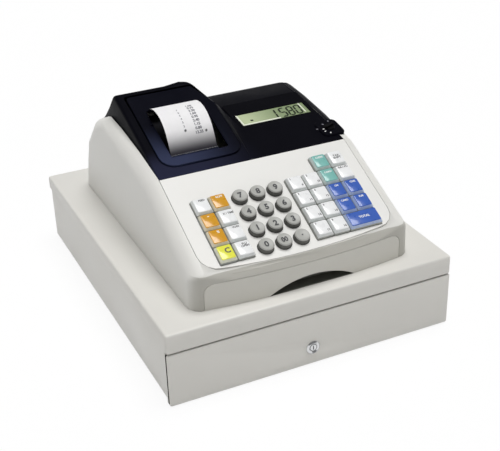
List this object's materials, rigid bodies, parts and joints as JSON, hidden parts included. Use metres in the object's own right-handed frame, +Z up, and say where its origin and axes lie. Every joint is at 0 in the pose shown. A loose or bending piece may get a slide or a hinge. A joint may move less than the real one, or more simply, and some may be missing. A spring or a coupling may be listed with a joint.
{
  "type": "ticket register",
  "caption": "Small electronic cash register with sloping keyboard, ticket printer and display, standing on its steel cash drawer with coin cups and bill bins.",
  "frame": {"origin": "middle of the cabinet's footprint, at the underside of its feet", "axes": "+Z up, -Y towards the operator, +X to the operator's right"},
  "size_m": [0.33, 0.409, 0.2285],
  "materials": {
    "white_steel": "powder coat, satin",
    "zinc_steel": "plain zinc-plated sheet",
    "bright_steel": "polished plate",
    "white_moulding": "fine texture",
    "navy_moulding": "satin gloss",
    "navy_lens": "gloss",
    "display_glass": "smooth",
    "black_moulding": "satin",
    "board_green": "matt",
    "paper_white": "uncoated",
    "roller_rubber": "matt",
    "key_grey": "satin",
    "key_white": "clear cap over a coloured label",
    "key_orange": "clear cap over a coloured label",
    "key_yellow": "clear cap over a coloured label",
    "key_teal": "clear cap over a coloured label",
    "key_blue": "clear cap over a coloured label"
  },
  "bodies": {
    "register": {"cabinet_shell": "white_steel", "cabinet_lid": "white_steel", "lower_case": "white_moulding", "upper_case": "white_moulding", "keyboard_panel": "white_moulding", "key_guide_board": "board_green", "deck_cover": "navy_moulding", "display_window": "navy_lens", "lcd_panel": "display_glass", "printer_mechanism": "zinc_steel", "paper_strip": "paper_white"},
    "drawer": {"drawer_front": "white_steel", "drawer_tray": "zinc_steel", "till_insert": "black_moulding", "drawer_lock": "bright_steel"},
    "lock_barrel": {"lock_plug": "bright_steel"},
    "clips": {"bill_clips": "zinc_steel"},
    "lid_of_printer": {"printer_cover": "navy_moulding", "tear_bar": "bright_steel"},
    "mode_switch": {"mode_key": "black_moulding"},
    "roller": {"feed_roller": "roller_rubber"},
    "roll": {"paper_roll": "paper_white"},
    "body_key_paper_feed": {"key_paper_feed": "key_white"},
    "body_key_receipt": {"key_receipt": "key_orange"},
    "body_key_minus": {"key_minus": "key_orange"},
    "body_key_quantity": {"key_quantity": "key_white"},
    "body_key_percent": {"key_percent": "key_orange"},
    "body_key_void": {"key_void": "key_white"},
    "body_key_clear": {"key_clear": "key_yellow"},
    "body_key_look_up": {"key_look_up": "key_white"},
    "body_key_group_1": {"key_group_1": "key_white"},
    "body_key_group_2": {"key_group_2": "key_white"},
    "body_key_group_3": {"key_group_3": "key_white"},
    "body_key_group_4": {"key_group_4": "key_white"},
    "body_key_group_5": {"key_group_5": "key_white"},
    "body_key_group_6": {"key_group_6": "key_white"},
    "body_key_group_7": {"key_group_7": "key_white"},
    "body_key_group_8": {"key_group_8": "key_white"},
    "body_key_clerk": {"key_clerk": "key_teal"},
    "body_key_tax": {"key_tax": "key_white"},
    "body_key_currency": {"key_currency": "key_teal"},
    "body_key_received": {"key_received": "key_white"},
    "body_key_charge": {"key_charge": "key_blue"},
    "body_key_cheque": {"key_cheque": "key_blue"},
    "body_key_credit": {"key_credit": "key_blue"},
    "body_key_subtotal": {"key_subtotal": "key_blue"},
    "body_key_total": {"key_total": "key_blue"},
    "body_key_7": {"key_7": "key_grey"},
    "body_key_8": {"key_8": "key_grey"},
    "body_key_9": {"key_9": "key_grey"},
    "body_key_4": {"key_4": "key_grey"},
    "body_key_5": {"key_5": "key_grey"},
    "body_key_6": {"key_6": "key_grey"},
    "body_key_1": {"key_1": "key_grey"},
    "body_key_2": {"key_2": "key_grey"},
    "body_key_3": {"key_3": "key_grey"},
    "body_key_0": {"key_0": "key_grey"},
    "body_key_00": {"key_00": "key_grey"},
    "body_key_point": {"key_point": "key_grey"}
  },
  "joints": [
    {"name": "drawer_slide", "type": "slide", "parent": "register", "child": "drawer", "axis": [0, -1, 0], "range_m": [0, 0.24]},
    {"name": "lock_turn", "type": "hinge", "parent": "drawer", "child": "lock_barrel", "pos_m": [-0.0038, -0.2025, 0.0217], "axis": [0, 1, 0], "range_deg": [0, 90]},
    {"name": "clips_lift", "type": "hinge", "parent": "drawer", "child": "clips", "pos_m": [0, 0.1625, 0.0439], "axis": [-1, 0, 0], "range_deg": [0, 34], "stiffness_Nm_per_rad": 0.05, "springref_deg": -11.46},
    {"name": "printer_cover_hinge", "type": "hinge", "parent": "register", "child": "lid_of_printer", "pos_m": [-0.0508, 0.06484, 0.21911], "axis": [-1, 0, 0], "range_deg": [0, 95]},
    {"name": "mode_turn", "type": "hinge", "parent": "register", "child": "mode_switch", "pos_m": [0.107, -0.03649, 0.18421], "axis": [0, -0.1742, 0.9847], "range_deg": [-75, 75]},
    {"name": "roll_spin", "type": "hinge", "parent": "register", "child": "roll", "pos_m": [-0.0558, 0.05411, 0.172], "axis": [1, 0, 0], "continuous": true},
    {"name": "feed_spin", "type": "hinge", "parent": "register", "child": "roller", "pos_m": [-0.0558, -0.03083, 0.16327], "axis": [1, 0, 0], "continuous": true},
    {"name": "key_paper_feed_press", "type": "slide", "parent": "register", "child": "body_key_paper_feed", "axis": [0, 0.4226, -0.9063], "range_m": [0, 0.003], "stiffness_N_per_m": 300},
    {"name": "key_receipt_press", "type": "slide", "parent": "register", "child": "body_key_receipt", "axis": [0, 0.4226, -0.9063], "range_m": [0, 0.003], "stiffness_N_per_m": 300},
    {"name": "key_minus_press", "type": "slide", "parent": "register", "child": "body_key_minus", "axis": [0, 0.4226, -0.9063], "range_m": [0, 0.003], "stiffness_N_per_m": 300},
    {"name": "key_quantity_press", "type": "slide", "parent": "register", "child": "body_key_quantity", "axis": [0, 0.4226, -0.9063], "range_m": [0, 0.003], "stiffness_N_per_m": 300},
    {"name": "key_percent_press", "type": "slide", "parent": "register", "child": "body_key_percent", "axis": [0, 0.4226, -0.9063], "range_m": [0, 0.003], "stiffness_N_per_m": 300},
    {"name": "key_void_press", "type": "slide", "parent": "register", "child": "body_key_void", "axis": [0, 0.4226, -0.9063], "range_m": [0, 0.003], "stiffness_N_per_m": 300},
    {"name": "key_clear_press", "type": "slide", "parent": "register", "child": "body_key_clear", "axis": [0, 0.4226, -0.9063], "range_m": [0, 0.003], "stiffness_N_per_m": 300},
    {"name": "key_look_up_press", "type": "slide", "parent": "register", "child": "body_key_look_up", "axis": [0, 0.4226, -0.9063], "range_m": [0, 0.003], "stiffness_N_per_m": 300},
    {"name": "key_group_1_press", "type": "slide", "parent": "register", "child": "body_key_group_1", "axis": [0, 0.4226, -0.9063], "range_m": [0, 0.003], "stiffness_N_per_m": 300},
    {"name": "key_group_2_press", "type": "slide", "parent": "register", "child": "body_key_group_2", "axis": [0, 0.4226, -0.9063], "range_m": [0, 0.003], "stiffness_N_per_m": 300},
    {"name": "key_group_3_press", "type": "slide", "parent": "register", "child": "body_key_group_3", "axis": [0, 0.4226, -0.9063], "range_m": [0, 0.003], "stiffness_N_per_m": 300},
    {"name": "key_group_4_press", "type": "slide", "parent": "register", "child": "body_key_group_4", "axis": [0, 0.4226, -0.9063], "range_m": [0, 0.003], "stiffness_N_per_m": 300},
    {"name": "key_group_5_press", "type": "slide", "parent": "register", "child": "body_key_group_5", "axis": [0, 0.4226, -0.9063], "range_m": [0, 0.003], "stiffness_N_per_m": 300},
    {"name": "key_group_6_press", "type": "slide", "parent": "register", "child": "body_key_group_6", "axis": [0, 0.4226, -0.9063], "range_m": [0, 0.003], "stiffness_N_per_m": 300},
    {"name": "key_group_7_press", "type": "slide", "parent": "register", "child": "body_key_group_7", "axis": [0, 0.4226, -0.9063], "range_m": [0, 0.003], "stiffness_N_per_m": 300},
    {"name": "key_group_8_press", "type": "slide", "parent": "register", "child": "body_key_group_8", "axis": [0, 0.4226, -0.9063], "range_m": [0, 0.003], "stiffness_N_per_m": 300},
    {"name": "key_clerk_press", "type": "slide", "parent": "register", "child": "body_key_clerk", "axis": [0, 0.4226, -0.9063], "range_m": [0, 0.003], "stiffness_N_per_m": 300},
    {"name": "key_tax_press", "type": "slide", "parent": "register", "child": "body_key_tax", "axis": [0, 0.4226, -0.9063], "range_m": [0, 0.003], "stiffness_N_per_m": 300},
    {"name": "key_currency_press", "type": "slide", "parent": "register", "child": "body_key_currency", "axis": [0, 0.4226, -0.9063], "range_m": [0, 0.003], "stiffness_N_per_m": 300},
    {"name": "key_received_press", "type": "slide", "parent": "register", "child": "body_key_received", "axis": [0, 0.4226, -0.9063], "range_m": [0, 0.003], "stiffness_N_per_m": 300},
    {"name": "key_charge_press", "type": "slide", "parent": "register", "child": "body_key_charge", "axis": [0, 0.4226, -0.9063], "range_m": [0, 0.003], "stiffness_N_per_m": 300},
    {"name": "key_cheque_press", "type": "slide", "parent": "register", "child": "body_key_cheque", "axis": [0, 0.4226, -0.9063], "range_m": [0, 0.003], "stiffness_N_per_m": 300},
    {"name": "key_credit_press", "type": "slide", "parent": "register", "child": "body_key_credit", "axis": [0, 0.4226, -0.9063], "range_m": [0, 0.003], "stiffness_N_per_m": 300},
    {"name": "key_subtotal_press", "type": "slide", "parent": "register", "child": "body_key_subtotal", "axis": [0, 0.4226, -0.9063], "range_m": [0, 0.003], "stiffness_N_per_m": 300},
    {"name": "key_total_press", "type": "slide", "parent": "register", "child": "body_key_total", "axis": [0, 0.4226, -0.9063], "range_m": [0, 0.003], "stiffness_N_per_m": 300},
    {"name": "key_7_press", "type": "slide", "parent": "register", "child": "body_key_7", "axis": [0, 0.4226, -0.9063], "range_m": [0, 0.003], "stiffness_N_per_m": 300},
    {"name": "key_8_press", "type": "slide", "parent": "register", "child": "body_key_8", "axis": [0, 0.4226, -0.9063], "range_m": [0, 0.003], "stiffness_N_per_m": 300},
    {"name": "key_9_press", "type": "slide", "parent": "register", "child": "body_key_9", "axis": [0, 0.4226, -0.9063], "range_m": [0, 0.003], "stiffness_N_per_m": 300},
    {"name": "key_4_press", "type": "slide", "parent": "register", "child": "body_key_4", "axis": [0, 0.4226, -0.9063], "range_m": [0, 0.003], "stiffness_N_per_m": 300},
    {"name": "key_5_press", "type": "slide", "parent": "register", "child": "body_key_5", "axis": [0, 0.4226, -0.9063], "range_m": [0, 0.003], "stiffness_N_per_m": 300},
    {"name": "key_6_press", "type": "slide", "parent": "register", "child": "body_key_6", "axis": [0, 0.4226, -0.9063], "range_m": [0, 0.003], "stiffness_N_per_m": 300},
    {"name": "key_1_press", "type": "slide", "parent": "register", "child": "body_key_1", "axis": [0, 0.4226, -0.9063], "range_m": [0, 0.003], "stiffness_N_per_m": 300},
    {"name": "key_2_press", "type": "slide", "parent": "register", "child": "body_key_2", "axis": [0, 0.4226, -0.9063], "range_m": [0, 0.003], "stiffness_N_per_m": 300},
    {"name": "key_3_press", "type": "slide", "parent": "register", "child": "body_key_3", "axis": [0, 0.4226, -0.9063], "range_m": [0, 0.003], "stiffness_N_per_m": 300},
    {"name": "key_0_press", "type": "slide", "parent": "register", "child": "body_key_0", "axis": [0, 0.4226, -0.9063], "range_m": [0, 0.003], "stiffness_N_per_m": 300},
    {"name": "key_00_press", "type": "slide", "parent": "register", "child": "body_key_00", "axis": [0, 0.4226, -0.9063], "range_m": [0, 0.003], "stiffness_N_per_m": 300},
    {"name": "key_point_press", "type": "slide", "parent": "register", "child": "body_key_point", "axis": [0, 0.4226, -0.9063], "range_m": [0, 0.003], "stiffness_N_per_m": 300}
  ],
  "couplings": [
    {"joint": "feed_spin", "follows": "roll_spin", "ratio": 4.1429}
  ]
}
